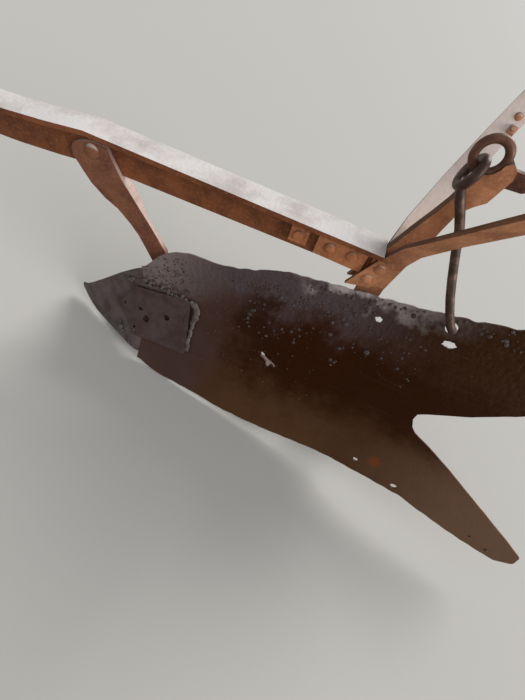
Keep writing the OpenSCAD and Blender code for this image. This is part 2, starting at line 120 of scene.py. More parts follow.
# %% [markdown]
# ## Rolled steel under red rust
# The beam, the strut, the standard and the handle bars were rolled or forged, and have rusted
# to a dry red-brown for years. Two noises make it, patches some 40 mm wide and a grain of a
# few millimetres, and pits lie over them. Dust has settled on every face that looks up; on the
# far handle bar that pale coat is dust and painted light, as its inner face is lit. The narrow
# faces of the bars are darker, which is painted shade, as they face away from the light. The
# object's own normal finds both. The standard, the near handle bar and the fish plates are
# painted lighter than the beam, which is rust and painted light. Rust is an oxide, so the
# finish isn't metallic. A Mix node's colour sockets go by number: 0 is the mask, 6 and 7 are
# the two colours, and output 2 is the result.

# %% Red rusted steel
# painted shade: the colour that darkens the bars' narrow faces, which face away from the light
PAINTED_SHADE_ON_NARROW_FACES = "#3a2217"


def red_rusted_steel(name, light, dark, bright, dust_and_light, dust_and_light_amount, dust_and_light_from=0.5, narrow_face_shade=0.0):
    material, tree = new_finish(name)
    coords = add(tree, "ShaderNodeTexCoord")
    patches = add(tree, "ShaderNodeTexNoise", {
        "Vector": coords.outputs["Object"], "Scale": per_mm(42), "Detail": 5.0, "Roughness": 0.6})
    grain = add(tree, "ShaderNodeTexNoise", {
        "Vector": coords.outputs["Object"], "Scale": per_mm(4.5), "Detail": 4.0, "Roughness": 0.7})
    patch_mask = add(tree, "ShaderNodeMapRange", {
        "Value": patches.outputs["Fac"], "From Min": 0.38, "From Max": 0.62})
    grain_mask = add(tree, "ShaderNodeMapRange", {
        "Value": grain.outputs["Fac"], "From Min": 0.5, "From Max": 0.72, "To Max": 0.7})
    # dust where the face looks up, patchy; on the far bar the same coat is also painted light
    facing = add(tree, "ShaderNodeSeparateXYZ", {"Vector": coords.outputs["Normal"]})
    upward = add(tree, "ShaderNodeMapRange", {
        "Value": facing.outputs["Z"], "From Min": dust_and_light_from, "From Max": dust_and_light_from + 0.35})
    lying = add(tree, "ShaderNodeMapRange", {
        "Value": patches.outputs["Fac"], "From Min": 0.7, "From Max": 0.45,
        "To Min": dust_and_light_amount - 0.3, "To Max": dust_and_light_amount})
    dust_and_light_mask = add(tree, "ShaderNodeMath", {
        0: upward.outputs["Result"], 1: lying.outputs["Result"]}, operation="MULTIPLY")
    # the bars stand on edge along X, so a narrow face has hardly any Y in its normal; it gets
    # painted shade
    sideways = add(tree, "ShaderNodeMath", {0: facing.outputs["Y"]}, operation="ABSOLUTE")
    narrow_face_shade_mask = add(tree, "ShaderNodeMapRange", {
        "Value": sideways.outputs["Value"], "From Min": 0.55, "From Max": 0.3,
        "To Max": narrow_face_shade})
    colour = linear(light)
    for mask, coat in [(patch_mask, dark), (grain_mask, bright), (dust_and_light_mask, dust_and_light),
                       (narrow_face_shade_mask, PAINTED_SHADE_ON_NARROW_FACES)]:
        laid = add(tree, "ShaderNodeMix", {
            0: mask.outputs[0], 6: colour, 7: linear(coat)}, data_type="RGBA")
        colour = laid.outputs[2]
    pits = add(tree, "ShaderNodeTexVoronoi", {
        "Vector": coords.outputs["Object"], "Scale": per_mm(5)}, feature="SMOOTH_F1")
    height = add(tree, "ShaderNodeMath", {
        0: grain.outputs["Fac"], 1: pits.outputs["Distance"]}, operation="ADD")
    bump = add(tree, "ShaderNodeBump", {
        "Height": height.outputs["Value"], "Strength": 0.45, "Distance": 0.8 * MM})
    rough = add(tree, "ShaderNodeMapRange", {
        "Value": grain.outputs["Fac"], "To Min": 0.62, "To Max": 0.92})
    shader = add(tree, "ShaderNodeBsdfPrincipled", {
        "Base Color": colour, "Roughness": rough.outputs["Result"],
        "Specular IOR Level": 0.25, "Normal": bump.outputs["Normal"]})
    add(tree, "ShaderNodeOutputMaterial", {"Surface": shader.outputs["BSDF"]})
    return material


beam_rust = red_rusted_steel(
    "rolled_beam_steel_red_rust", "#7a4628", "#5c3119", "#8f5a37", "#c9c4c0", 0.98)
print("red rust for the beam:", len(beam_rust.node_tree.nodes), "nodes")

# %% The same rust for the other steel, with painted light and shade on some of it
# colours: the patches' light and dark, the grain's bright, the dust, painted light on the far
# bar; then how much of that lies, how little a face must look up to hold it, and how much
# painted shade darkens the narrow faces
# the far bar's pale coat on its lit inner face is dust and painted light, and its narrow faces get
# painted shade
far_bar_rust_and_painted_light = red_rusted_steel(
    "dusty_bar_steel_red_rust_painted_light", "#8a5538", "#653a22", "#9c6a4a", "#e0d2c8", 0.95, 0.12, 0.85)
strut_rust = red_rusted_steel(
    "forged_strut_steel_red_rust", "#7e5038", "#61392a", "#8f5f49", "#c9bcb4", 0.8, 0.3)
# the standard and the near handle bar are painted lighter than the beam: rust and painted light,
# where more light falls on them
handle_rust_and_painted_light = red_rusted_steel(
    "handled_bar_steel_red_rust_painted_light", "#b17852", "#8b593c", "#c38c68", "#d0bfb2", 0.8, narrow_face_shade=0.8)
# the fish plates are painted lighter as well: rust and painted light
plate_rust_and_painted_light = red_rusted_steel(
    "fish_plate_steel_red_rust_painted_light", "#ac6d48", "#844f31", "#bf815a", "#bfaea2", 0.6, narrow_face_shade=0.6)
bolt_rust = red_rusted_steel(
    "bolt_steel_brown_rust", "#5d3826", "#38211a", "#7d4e35", "#a8948a", 0.55)
hidden_rust = red_rusted_steel(
    "forged_carrier_iron_brown_rust", "#54382a", "#33221a", "#6f4a35", "#8c7c70", 0.4)
sole_rust = red_rusted_steel(
    "worn_sole_steel", "#6a5850", "#45352c", "#8b7a70", "#9d9086", 0.3)
print("rusted finishes:", len(bpy.data.materials))

# %% [markdown]
# ## Rubbed hook steel
# The hook and its ring are handled and rubbed, so the rust is thin there and the bare steel
# shines through on the high places. A part-metallic base with low roughness gives the long
# pale highlight that runs down the rod in the photo.

# %% Rubbed steel of the hook
def rubbed_hook_steel(name, rust, bare):
    material, tree = new_finish(name)
    coords = add(tree, "ShaderNodeTexCoord")
    clouds = add(tree, "ShaderNodeTexNoise", {
        "Vector": coords.outputs["Object"], "Scale": per_mm(14), "Detail": 6.0, "Roughness": 0.65})
    grain = add(tree, "ShaderNodeTexNoise", {
        "Vector": coords.outputs["Object"], "Scale": per_mm(1.8), "Detail": 2.0})
    worn = add(tree, "ShaderNodeMapRange", {
        "Value": clouds.outputs["Fac"], "From Min": 0.45, "From Max": 0.68, "To Max": 0.75})
    colour = add(tree, "ShaderNodeMix", {
        0: worn.outputs["Result"], 6: linear(rust), 7: linear(bare)}, data_type="RGBA")
    rough = add(tree, "ShaderNodeMapRange", {
        "Value": clouds.outputs["Fac"], "To Min": 0.7, "To Max": 0.34})
    bump = add(tree, "ShaderNodeBump", {
        "Height": grain.outputs["Fac"], "Strength": 0.3, "Distance": 0.4 * MM})
    shader = add(tree, "ShaderNodeBsdfPrincipled", {
        "Base Color": colour.outputs[2], "Roughness": rough.outputs["Result"],
        "Metallic": 0.35, "Normal": bump.outputs["Normal"]})
    add(tree, "ShaderNodeOutputMaterial", {"Surface": shader.outputs["BSDF"]})
    return material


hook_steel = rubbed_hook_steel("rubbed_hook_steel", "#3c2519", "#75584a")
ring_steel = rubbed_hook_steel("rubbed_ring_steel", "#5a3726", "#83604c")
print("rubbed finishes:", hook_steel.name, ring_steel.name)

# %% [markdown]
# ## The soil-worn moldboard
# Soil slides along the sheet and wears it smooth, and when the plough is laid by, a thin dark
# rust closes over it. So the colour follows the sheet: plum at the front, with a paler upper
# front that is a painted sheen, nearly black along the trough, which is painted shade, a little
# lighter towards the end of the lower wing, which is painted light, with a crust of grey scale
# along the upper edge. The sheet carries a UV map in metres, along and across. Each layer, rust
# as well as painted light and shade, is a row in a table: its colour, and the measures between
# which it fades in. The layers are laid on in that order, like coats of a glaze, so a new coat
# is one more row.

# %% The layers of rust and of painted light and shade
PLUM = "#4b3f42"
# columns: colour, how much of it shows, and where: a measure, then its value where the layer is
# absent and where it is full, in metres for along and across
RUST_AND_PAINTED_LIGHT_LAYERS = [
    # the rear of the upper half, the lower half, and its front
    ("#2f1908", 1.0, [("along", 0.50, 0.67)]),
    ("#432c21", 1.0, [("across", 0.12, 0.03)]),
    ("#43312d", 1.0, [("along", 0.38, 0.26), ("across", 0.08, 0.02)]),
    # the upper front painted paler as a painted sheen, and freckles all over
    ("#6a5e5c", 1.0, [("along", 0.34, 0.20), ("across", 0.03, 0.10)]),
    ("#655650", 0.3, [("grain", 0.55, 0.72)]),
    # the dark trough, which is painted shade, the lower edge, and the end of the lower wing painted
    # lighter as painted light
    ("#291002", 1.0, [("along", 0.26, 0.42), ("across", 0.115, 0.045)]),
    ("#4c3320", 1.0, [("across", -0.01, -0.12), ("along", 0.24, 0.38)]),
    ("#664d3c", 1.0, [("across", -0.01, -0.12), ("along", 0.55, 0.85)]),
    # grey scale along the upper edge, thickest a hand's width in front of the hook's hole
    ("#a69c99", 1.0, [("across", 0.124, 0.152), ("along", 0.42, 0.52), ("scales", 0.95, 0.4),
                      ("along", 0.72, 0.52)]),
    # a smear over the worn place in front of the slit and above it
    ("#241005", 0.75, [("along", 0.34, 0.375), ("along", 0.435, 0.40), ("across", -0.04, 0.02),
                       ("across", 0.105, 0.08)]),
    # streaks as the soil ran, and one bright spot of fresh rust by the lower holes
    ("#6b5648", 0.1, [("streaks", 0.55, 0.8)]),
    ("#7c3d12", 1.0, [("from fresh rust", 0.013, 0.004), ("grain", 0.35, 0.6)]),
]
PITTED = [("scales", 0.1, 0.6), ("across", -0.02, 0.11)]
FRESH_RUST_AT = (0.638, -0.112, 0)


def faded(tree, measures, amount, where):
    """A mask that is amount where every measure is at its full value, with soft ends."""
    mask = None
    for measure, absent, full in where:
        fade = add(tree, "ShaderNodeMapRange", {
            "Value": measures[measure], "From Min": absent, "From Max": full,
            "To Max": amount if mask is None else 1.0}, interpolation_type="SMOOTHSTEP")
        if mask is None:
            mask = fade.outputs["Result"]
        else:
            both = add(tree, "ShaderNodeMath", {0: mask, 1: fade.outputs["Result"]},
                       operation="MULTIPLY")
            mask = both.outputs["Value"]
    return mask


# some of these layers are a painted sheen, painted shade and painted light
print("layers of rust over plum:", len(RUST_AND_PAINTED_LIGHT_LAYERS))

# %% Rust and painted light of the moldboard sheet
def soil_worn_sheet_with_painted_light(name):
    material, tree = new_finish(name)
    coords = add(tree, "ShaderNodeTexCoord")
    place = add(tree, "ShaderNodeSeparateXYZ", {"Vector": coords.outputs["UV"]})
    stretch = add(tree, "ShaderNodeMapping", {
        "Vector": coords.outputs["UV"], "Scale": (per_mm(110), per_mm(5), 1.0)})
    streaks = add(tree, "ShaderNodeTexNoise", {
        "Vector": stretch.outputs["Vector"], "Scale": 1.0, "Detail": 4.0})
    clouds = add(tree, "ShaderNodeTexNoise", {
        "Vector": coords.outputs["Object"], "Scale": per_mm(50), "Detail": 7.0, "Roughness": 0.62})
    grain = add(tree, "ShaderNodeTexNoise", {
        "Vector": coords.outputs["Object"], "Scale": per_mm(3.2), "Detail": 5.0, "Roughness": 0.72})
    scales = add(tree, "ShaderNodeTexVoronoi", {
        "Vector": coords.outputs["Object"], "Scale": per_mm(7)}, feature="SMOOTH_F1")
    fresh = add(tree, "ShaderNodeVectorMath", {
        0: coords.outputs["UV"], 1: FRESH_RUST_AT}, operation="DISTANCE")
    # the borders of the layers wander by some 30 mm
    wander = add(tree, "ShaderNodeMapRange", {
        "Value": clouds.outputs["Fac"], "From Min": 0.3, "From Max": 0.7,
        "To Min": -30 * MM, "To Max": 30 * MM}, clamp=False)
    along = add(tree, "ShaderNodeMath", {
        0: place.outputs["X"], 1: wander.outputs["Result"]}, operation="ADD")
    across = add(tree, "ShaderNodeMath", {
        0: place.outputs["Y"], 1: wander.outputs["Result"]}, operation="ADD")
    measures = {"along": along.outputs["Value"], "across": across.outputs["Value"],
                "grain": grain.outputs["Fac"], "streaks": streaks.outputs["Fac"],
                "scales": scales.outputs["Distance"], "from fresh rust": fresh.outputs["Value"]}
    colour = linear(PLUM)
    for layer, amount, where in RUST_AND_PAINTED_LIGHT_LAYERS:
        coat = add(tree, "ShaderNodeMix", {
            0: faded(tree, measures, amount, where), 6: colour, 7: linear(layer)},
            data_type="RGBA")
        colour = coat.outputs[2]
    height = add(tree, "ShaderNodeMath", {
        0: faded(tree, measures, 1.0, PITTED), 1: grain.outputs["Fac"]}, operation="ADD")
    coarse = add(tree, "ShaderNodeBump", {
        "Height": height.outputs["Value"], "Strength": 0.55, "Distance": 1.1 * MM})
    fine = add(tree, "ShaderNodeBump", {
        "Height": grain.outputs["Fac"], "Strength": 0.35, "Distance": 0.7 * MM,
        "Normal": coarse.outputs["Normal"]})
    rough = add(tree, "ShaderNodeMapRange", {
        "Value": grain.outputs["Fac"], "To Min": 0.42, "To Max": 0.75})
    shader = add(tree, "ShaderNodeBsdfPrincipled", {
        "Base Color": colour, "Roughness": rough.outputs["Result"],
        "Specular IOR Level": 0.15, "Specular Tint": (1.0, 0.55, 0.32, 1.0),
        "Normal": fine.outputs["Normal"]})
    add(tree, "ShaderNodeOutputMaterial", {"Surface": shader.outputs["BSDF"]})
    return material


sheet_rust_and_painted_light = soil_worn_sheet_with_painted_light("soil_worn_moldboard_rust_and_painted_light")
print("moldboard rust:", len(sheet_rust_and_painted_light.node_tree.nodes), "nodes")

# %% [markdown]
# ## The ground-down share and the welded plate
# The share is the piece that meets stones. It is ground down and grey-brown, with flakes of
# scale. The plate that was welded over its joint has the same look, a little more
# plum, and so have the weld metal and the lifted rust, whose pale flakes are partly painted
# highlights. All use Object coordinates, as nothing on them follows their length.

# %% Ground share steel
def ground_share_steel(name, base, shade, pale):
    material, tree = new_finish(name)
    coords = add(tree, "ShaderNodeTexCoord")
    clouds = add(tree, "ShaderNodeTexNoise", {
        "Vector": coords.outputs["Object"], "Scale": per_mm(26), "Detail": 6.0, "Roughness": 0.62})
    grain = add(tree, "ShaderNodeTexNoise", {
        "Vector": coords.outputs["Object"], "Scale": per_mm(3), "Detail": 4.0, "Roughness": 0.75})
    cloud_mask = add(tree, "ShaderNodeMapRange", {
        "Value": clouds.outputs["Fac"], "From Min": 0.4, "From Max": 0.62})
    # pale flakes: scale, and on the weld metal and the blisters partly painted highlights
    flake_and_highlight_mask = add(tree, "ShaderNodeMapRange", {
        "Value": grain.outputs["Fac"], "From Min": 0.55, "From Max": 0.72, "To Max": 0.45})
    body = add(tree, "ShaderNodeMix", {
        0: cloud_mask.outputs["Result"], 6: linear(base), 7: linear(shade)}, data_type="RGBA")
    flakes_and_highlights = add(tree, "ShaderNodeMix", {
        0: flake_and_highlight_mask.outputs["Result"], 6: body.outputs[2], 7: linear(pale)}, data_type="RGBA")
    height = add(tree, "ShaderNodeMath", {
        0: grain.outputs["Fac"], 1: clouds.outputs["Fac"]}, operation="ADD")
    bump = add(tree, "ShaderNodeBump", {
        "Height": height.outputs["Value"], "Strength": 0.5, "Distance": 1.0 * MM})
    rough = add(tree, "ShaderNodeMapRange", {
        "Value": clouds.outputs["Fac"], "To Min": 0.45, "To Max": 0.8})
    shader = add(tree, "ShaderNodeBsdfPrincipled", {
        "Base Color": flakes_and_highlights.outputs[2], "Roughness": rough.outputs["Result"],
        "Specular IOR Level": 0.4, "Normal": bump.outputs["Normal"]})
    add(tree, "ShaderNodeOutputMaterial", {"Surface": shader.outputs["BSDF"]})
    return material


share_steel = ground_share_steel("ground_share_steel", "#574b48", "#42322c", "#72686a")
patch_steel = ground_share_steel("plum_patch_steel", "#473633", "#38251f", "#615250")
# the pale flakes of the weld metal and the lifted rust are partly painted highlights
weld_steel_and_highlight = ground_share_steel("weld_bead_steel_painted_highlight", "#5b514c", "#3a2d27", "#9a9794")
blister_rust_and_highlight = ground_share_steel("lifted_rust_scale_painted_highlight", "#453631", "#32231d", "#8d807a")
print("share finish:", share_steel.name)

# %% [markdown]
# ## Ash-wood grips
# The ends of the handle bars have turned wooden grips, grey-brown and polished by hands. The
# grain of turned ash runs along the grip, so a noise is stretched 20 times along X.

# %% Hand-worn ash wood
def hand_worn_ash(name):
    material, tree = new_finish(name)
    coords = add(tree, "ShaderNodeTexCoord")
    along_grain = add(tree, "ShaderNodeMapping", {
        "Vector": coords.outputs["Object"], "Scale": (per_mm(60), per_mm(3), per_mm(3))})
    fibres = add(tree, "ShaderNodeTexNoise", {
        "Vector": along_grain.outputs["Vector"], "Scale": 1.0, "Detail": 5.0, "Roughness": 0.6})
    hands = add(tree, "ShaderNodeTexNoise", {
        "Vector": coords.outputs["Object"], "Scale": per_mm(50), "Detail": 3.0})
    fibre_mask = add(tree, "ShaderNodeMapRange", {
        "Value": fibres.outputs["Fac"], "From Min": 0.35, "From Max": 0.65})
    wood = add(tree, "ShaderNodeMix", {
        0: fibre_mask.outputs["Result"], 6: linear("#8a6a48"), 7: linear("#5c422a")},
        data_type="RGBA")
    soiled = add(tree, "ShaderNodeMix", {
        0: hands.outputs["Fac"], 6: wood.outputs[2], 7: linear("#4f3b2c")}, data_type="RGBA")
    bump = add(tree, "ShaderNodeBump", {
        "Height": fibres.outputs["Fac"], "Strength": 0.35, "Distance": 0.5 * MM})
    shader = add(tree, "ShaderNodeBsdfPrincipled", {
        "Base Color": soiled.outputs[2], "Roughness": 0.5, "IOR": 1.5,
        "Normal": bump.outputs["Normal"]})
    add(tree, "ShaderNodeOutputMaterial", {"Surface": shader.outputs["BSDF"]})
    return material


ash_wood = hand_worn_ash("hand_worn_ash_wood")
print("wood finish:", ash_wood.name)

# %% [markdown]
# ## From faces to a piece
# Every piece goes the same way. Its faces are built, its modifiers are used up, and weighted
# normals keep its flats flat. Then it gets its material and its body, and the CAD node that it
# stands for is hidden.

# %% Tools for the pieces
BODY_OF = {node: body for body, nodes in frame["record"]["behaviour"]["bodies"].items()
           for node in nodes}


def dress(obj, material):
    obj.data.materials.clear()
    obj.data.materials.append(material)


def new_object(name, mesh, material):
    obj = bpy.data.objects.new(name, mesh)
    bpy.context.scene.collection.objects.link(obj)
    dress(obj, material)
    return obj


def object_from(name, bm, material):
    mesh = bpy.data.meshes.new(name)
    bm.to_mesh(mesh)
    bm.free()
    return new_object(name, mesh, material)


def bridge(bm, rings):
    """Faces from each closed ring of points to the next one."""
    for a, b in zip(rings, rings[1:]):
        for k in range(len(a)):
            q = (k + 1) % len(a)
            bm.faces.new((a[k], a[q], b[q], b[k]))


def use_up(obj):
    """Gives the object a plain mesh of its own in place of its modifiers."""
    bpy.context.view_layer.update()
    evaluated = obj.evaluated_get(bpy.context.evaluated_depsgraph_get())
    baked = bpy.data.meshes.new_from_object(evaluated)
    obj.modifiers.clear()
    obj.data = baked


def finish_mesh(obj, smooth_below_deg):
    """Uses up the modifiers, then shades smooth up to that angle with flat flats."""
    use_up(obj)
    obj.data.shade_smooth()
    obj.data.set_sharp_from_angle(angle=math.radians(smooth_below_deg))
    weighted = obj.modifiers.new("weighted", "WEIGHTED_NORMAL")
    weighted.keep_sharp = True
    use_up(obj)


def settle(piece, material, node, body="turning_body"):
    """Gives a finished piece its material and its body, and hides the CAD node that it stands for.
    """
    dress(piece, material)
    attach(piece, body)
    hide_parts(node)


# %% [markdown]
# ## Hammered heads
# A head that was hammered is no true circle. Each fastener is one turned profile: a dome on the
# near side, the shank, then a second dome, or a nut and the shank's end. Noise dents it.

# %% Rivets and bolts
# columns: x, height over the floor, shank radius, half length, head radius, head height, in mm
STRUT_BOLT = [(-70, 331.6, 8, 10, 10.8, 4.8)]
HANDLE_BOLTS = [(-497, 337.6, 5.5, 13, 7.8, 3.3), (-488, 315.6, 5.5, 13, 7.8, 3.3)]
PLATE_RIVETS = [(-423, 334.6, 4, 7, 8.0, 4.0), (-455, 335.6, 4, 7, 8.0, 4.0)]
# a nut and the shank's end, in shank radii: radius, distance out from the nut's seat
NUT_PROFILE = [(1, 0), (1.55, 0), (1.75, 0.15), (1.75, 0.8), (1.5, 1), (1, 1), (1, 1.3), (0, 1.4)]
RING_POINTS, LIP, DENT = 24, 1.02, 0.03


def turned_fastener(bm, row, nut):
    """A domed head on the near side, the shank, and a second head or a nut on the far side."""
    x, z, shank, reach, head, height = row
    dome = [(head * math.cos(a), reach + height * math.sin(a))
            for a in np.linspace(0, math.pi / 2, 6)]
    near = dome[::-1] + [(head * LIP, reach), (shank, reach)]
    if nut:
        far = [(radius * shank, -reach - out * shank) for radius, out in NUT_PROFILE]
    else:
        far = [(r, -y) for r, y in near[::-1]]
    rings = []
    for r, y in near + far:
        six_sided = nut and y < -reach + 0.1 and r > 1.2 * shank
        ring = []
        for k in range(RING_POINTS):
            angle = 2 * math.pi * k / RING_POINTS
            corner = 1.0
            if six_sided:
                corner = math.cos(math.pi / 6) / math.cos((angle % (math.pi / 3)) - math.pi / 6)
            dent = 1 + DENT * noise.noise(Vector((x + 3 * math.cos(angle), z, y)))
            out = r * corner * dent
            point = Vector((x + TIP_X + out * math.cos(angle), y, z + out * math.sin(angle)))
            ring.append(bm.verts.new(point * MM))
        rings.append(ring)
    bridge(bm, rings)


def fasteners(name, rows, nut, material, node):
    bm = bmesh.new()
    for row in rows:
        turned_fastener(bm, row, nut)
    bmesh.ops.remove_doubles(bm, verts=bm.verts, dist=0.02 * MM)
    bmesh.ops.recalc_face_normals(bm, faces=bm.faces)
    obj = object_from(name, bm, material)
    finish_mesh(obj, 50)
    settle(obj, material, node, "frame")
    print(name, len(obj.data.polygons), "faces")


fasteners("strut_bolt_hammered", STRUT_BOLT, True, strut_rust, "strut_bolt")
fasteners("handle_bolts_hammered", HANDLE_BOLTS, True, handle_rust_and_painted_light, "handle_bolts")
fasteners("plate_rivets_hammered", PLATE_RIVETS, False, plate_rust_and_painted_light, "plate_rivets")

# %% [markdown]
# ## A rivet and a square nut on the far bar
# They sit on the bar's inner face, which leans, so they are built on that face's own three
# directions. Each is a stack of rings. A ring of four points makes the square nut.

# %% Rings on the leaning face
FACE = Vector((0.18, 0.77, 0.61)).normalized()
SIDE = FACE.cross(Vector((0.5, 0.0, 0.86))).normalized()
UP = FACE.cross(SIDE)
RIVET_PLACE, NUT_PLACE = Vector((-184, -115, 516)), Vector((-184, -105, 504))
# columns: radius, height over the face, in mm
RIVET_HEAD = [(5.0, -1.5), (5.0, 0.0), (4.4, 1.2), (3.2, 2.2), (1.4, 2.8)]
SQUARE_NUT = [(6.6, -1.5), (6.6, 2.6), (5.8, 3.4)]
BOLT_END = [(3.0, 3.0), (3.0, 5.2), (2.2, 6.0)]

bm = bmesh.new()
for place, profile, count in [(RIVET_PLACE, RIVET_HEAD, 20), (NUT_PLACE, SQUARE_NUT, 4),
                              (NUT_PLACE, BOLT_END, 16)]:
    rings = []
    for radius, height in profile:
        turns = [2 * math.pi * k / count for k in range(count)]
        rings.append([bm.verts.new((place + FACE * height + radius * (
            SIDE * math.cos(a) + UP * math.sin(a))) * MM) for a in turns])
    bridge(bm, rings)
    bm.faces.new(rings[-1])
    bm.faces.new(rings[0][::-1])
bmesh.ops.recalc_face_normals(bm, faces=bm.faces)
far_bar_rivets = object_from("far_bar_rivets", bm, handle_rust_and_painted_light)
finish_mesh(far_bar_rivets, 40)
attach(far_bar_rivets, "frame")
print("rivet and nut on the far bar:", len(far_bar_rivets.data.polygons), "faces")

# %% [markdown]
# ## Rounding the forged pieces
# A CAD solid has knife-sharp edges, and no forged bar has. Each node's mesh is copied, its
# loose triangles are merged, and a bevel rounds the edges by about a millimetre. The copy takes
# the node's place, and rides on its body.

# %% Every other CAD piece, rounded
FINISH_OF = {
    "beam": beam_rust, "hitch_cheek_left": beam_rust, "hitch_cheek_right": beam_rust,
    "hitch_rivets": bolt_rust, "strut": strut_rust,
    "beam_bolt": plate_rust_and_painted_light, "fish_plate_left": plate_rust_and_painted_light, "fish_plate_right": plate_rust_and_painted_light,
    "standard": handle_rust_and_painted_light, "ring_eye": ring_steel,
    "handle_left": handle_rust_and_painted_light, "handle_right": far_bar_rust_and_painted_light,
    "grip_left": ash_wood, "grip_right": ash_wood, "cross_stay": beam_rust,
    "handle_brace": bolt_rust, "pivot_shaft": hidden_rust, "shaft_nuts": hidden_rust,
    "nose_bearing": hidden_rust, "rear_bearing": hidden_rust, "sole_bar": sole_rust,
    "heel_shoe": sole_rust,
    "front_carrier": hidden_rust, "rear_carrier": hidden_rust, "hook_rod": hook_steel,
}
ROUNDING_MM = {"grip_left": 0.4, "grip_right": 0.4, "hook_rod": 0.3, "ring_eye": 0.4}


def rounded_copy(node, material):
    bm = bmesh.new()
    bm.from_mesh(frame["nodes"][node].data)
    bmesh.ops.remove_doubles(bm, verts=bm.verts, dist=0.01 * MM)
    bmesh.ops.dissolve_limit(bm, angle_limit=math.radians(0.6), verts=bm.verts, edges=bm.edges)
    obj = object_from(node + "_worn", bm, material)
    bevel = obj.modifiers.new("worn edge", "BEVEL")
    bevel.width = ROUNDING_MM.get(node, 0.9) * MM
    bevel.segments = 2
    bevel.limit_method = "ANGLE"
    bevel.angle_limit = math.radians(38)
    bevel.use_clamp_overlap = True
    finish_mesh(obj, 48)
    settle(obj, material, node, BODY_OF[node])
    return obj


worn_pieces = [rounded_copy(node, finish) for node, finish in FINISH_OF.items()]
print("rounded", len(worn_pieces), "pieces,",
      sum(len(piece.data.polygons) for piece in worn_pieces), "faces")

# %% [markdown]
# ## The moldboard
# The sheet is swept from the share to two wing tips. Its section is a shallow trough, given by
# a short table of stations: how far the middle and the edges stand off the sheet's long axis,
# and how wide the sheet is on each side. Between stations the values are read off straight lines
# and averaged over a few millimetres, which rounds the bends.

# %% The sheet's shape
SHEET_SLOPE, SHEET_ROLL = math.radians(10), math.radians(27)
TIP = np.array([TIP_X, 0.0, 12 + FLOOR_Z])
ALONG = np.array([-math.cos(SHEET_SLOPE), 0, math.sin(SHEET_SLOPE)])
UPRIGHT = np.array([math.sin(SHEET_SLOPE), 0, math.cos(SHEET_SLOPE)])
SIDEWAYS = np.array([0.0, 1.0, 0.0])
OUTWARD = math.cos(SHEET_ROLL) * SIDEWAYS + math.sin(SHEET_ROLL) * UPRIGHT
ACROSS = -math.sin(SHEET_ROLL) * SIDEWAYS + math.cos(SHEET_ROLL) * UPRIGHT

# columns: station, middle, upper edge and lower edge stand-off, upper and lower width, in mm
SHARE_STATIONS = np.array([
    (0, 0, 0, 0, 2, 8), (12, 6, 7, 7, 3.5, 18), (32, 13, 16, 16, 13, 33),
    (54, 20, 26, 26, 26, 42.5), (80, 28, 36, 36, 41, 51), (111, 36, 49, 49, 60, 60),
    (150, 45, 67, 65, 81, 72), (168, 48, 73, 67, 89, 77)])
STATIONS = np.array([
    (168.3, 48, 73, 69, 91, 86), (182, 50, 77, 69.5, 98, 93.5), (190, 51, 78.5, 69.8, 108, 97.5),
    (200, 52, 80, 70.8, 117.5, 101.5), (213, 53.4, 80, 72.2, 126, 105.5),
    (236, 56, 79.5, 74.6, 134.5, 109), (260, 59, 79, 76.7, 135.5, 112.5),
    (282, 61.2, 79.6, 78.1, 133.5, 116), (310, 64, 80.5, 80, 131, 122),
    (350, 67.5, 83, 82.7, 136, 131), (374, 69.5, 84.5, 84.3, 141, 133.5),
    (409, 73, 87, 86.4, 150, 137.5), (450, 80, 89, 88, 150.5, 141),
    (500, 87, 93, 90, 151.5, 143.5), (530, 91.5, 96, 91.4, 153, 145.3),
    (560, 97, 99.5, 94, 153, 147), (600, 107, 107, 104.5, 154, 148.4),
    (646, 117.2, 117, 116.2, 157.5, 150), (695, 127.5, 127, 126, 162, 155),
    (736, 133, 133, 133, 167.5, 168), (798, 142, 142, 142, 178, 185),
    (846, 149, 149, 149, 186.5, 194), (903, 158, 158, 158, 197, 205)])
# columns: side position, and the station where the sheet ends there: first the notch's flank,
# then the wing's cut end
REAR_UPPER = np.array([(0, 667), (0.037, 676), (0.081, 693), (0.161, 729), (0.32, 787),
                       (0.6, 846), (0.847, 892), (1, 876)])
REAR_LOWER = np.array([(0, 666), (0.068, 663), (0.157, 667), (0.211, 674), (0.246, 684),
                       (0.291, 699), (0.395, 732), (0.558, 784), (0.73, 842), (0.847, 884),
                       (0.93, 881), (1, 856)])
SHARE_LENGTH, JOINT, SHEET_START, SHEET_THICK = 168, 168.15, 168.3, 5.0
BROAD_DENT, SMALL_DENT = 46, 13      # how wide the dents are, mm


def station(s, column):
    """A table value at s, averaged over a few millimetres so that no kink shows."""
    table = SHARE_STATIONS if s < JOINT else STATIONS
    steps = (-4, 0, 4) if s < 20 else (-9, -4, 0, 4, 9)
    return sum(np.interp(s + d, table[:, 0], table[:, column]) for d in steps) / len(steps)


def sheet_point(s, side, lift=0.0, width=None):
    """A point on the outer face: s mm from the tip, side from -1 (lower) to 1 (upper)."""
    upper = side > 0
    reach = station(s, 4 if upper else 5) if width is None else width
    edge = station(s, 2 if upper else 3)
    middle = station(s, 1)
    stand = middle + (edge - middle) * side * side + lift
    return TIP + s * ALONG + stand * OUTWARD + side * reach * ACROSS


def on_sheet(s, across, lift=0.0):
    """The same point, given by its distance across in mm."""
    return sheet_point(s, across / station(s, 4 if across > 0 else 5), lift)


def hammered(s, across, depth=0.7):
    """Shallow dents and scale, in mm below the true face: never above it."""
    broad = noise.noise(Vector((s / BROAD_DENT, across / BROAD_DENT, 3.1)))
    small = noise.noise(Vector((s / SMALL_DENT, across / SMALL_DENT, 8.4)))
    return depth * (0.55 * broad + 0.3 * small - 0.85)


def rear_end(side):
    table = REAR_UPPER if side > 0 else REAR_LOWER
    return float(np.interp(abs(side), table[:, 0], table[:, 1]))


print("stations:", len(SHARE_STATIONS), "on the share,", len(STATIONS), "on the sheet")

